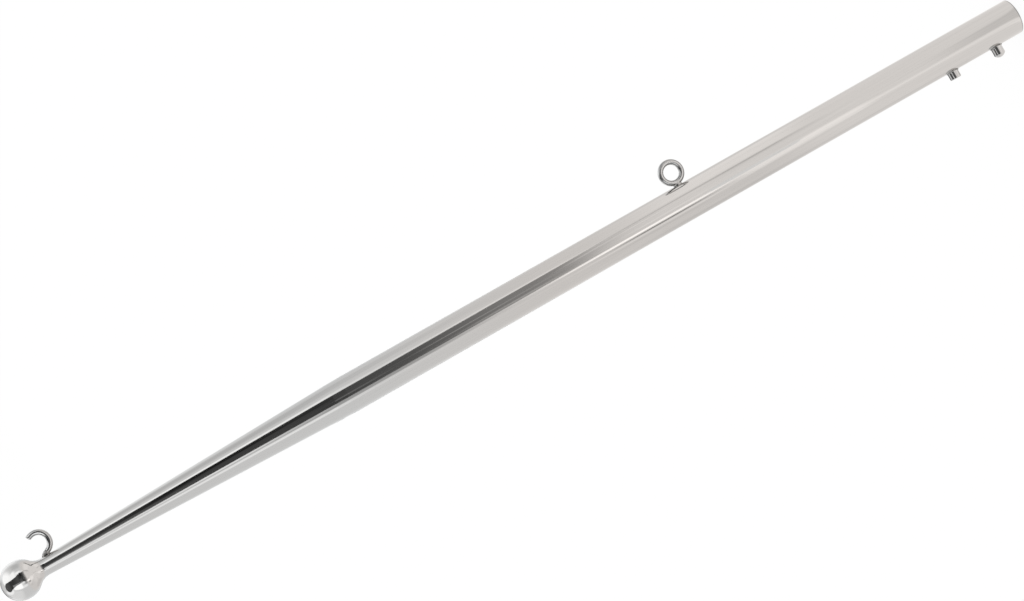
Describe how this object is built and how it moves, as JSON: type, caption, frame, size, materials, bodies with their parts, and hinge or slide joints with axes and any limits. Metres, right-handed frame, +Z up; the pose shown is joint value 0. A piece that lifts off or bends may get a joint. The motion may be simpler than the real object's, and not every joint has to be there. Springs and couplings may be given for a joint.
{
  "type": "boat flagpole",
  "caption": "Mirror-polished stainless flagstaff for a boat's socket: straight tube swaged to a cone, ball on top, open hook and closed eye on one side, locating pins at the heel.",
  "frame": {"origin": "centre of the tube's open heel, on its flat end face", "axes": "+Z up the staff to the ball; +X towards the hook and the eye, with the locating pins on -X; the staff is the same either side of the XZ plane"},
  "size_m": [0.0511, 0.0254, 0.7767],
  "materials": {
    "polished_tube": "mirror-polished stainless steel with fine lengthwise polishing lines",
    "turned_ball": "mirror-polished stainless steel with fine turning rings",
    "bent_rod": "polished stainless steel rod",
    "pin_bar": "polished stainless steel bar",
    "weld": "ground and polished stainless steel weld, a little duller"
  },
  "bodies": {
    "root": {"staff_tube": "polished_tube", "ball": "turned_ball", "ball_weld": "weld", "flag_hook": "bent_rod", "hook_weld": "weld", "flag_eye": "bent_rod", "eye_weld": "weld", "lower_pin": "pin_bar", "lower_pin_weld": "weld", "upper_pin": "pin_bar", "upper_pin_weld": "weld"}
  },
  "joints": []
}
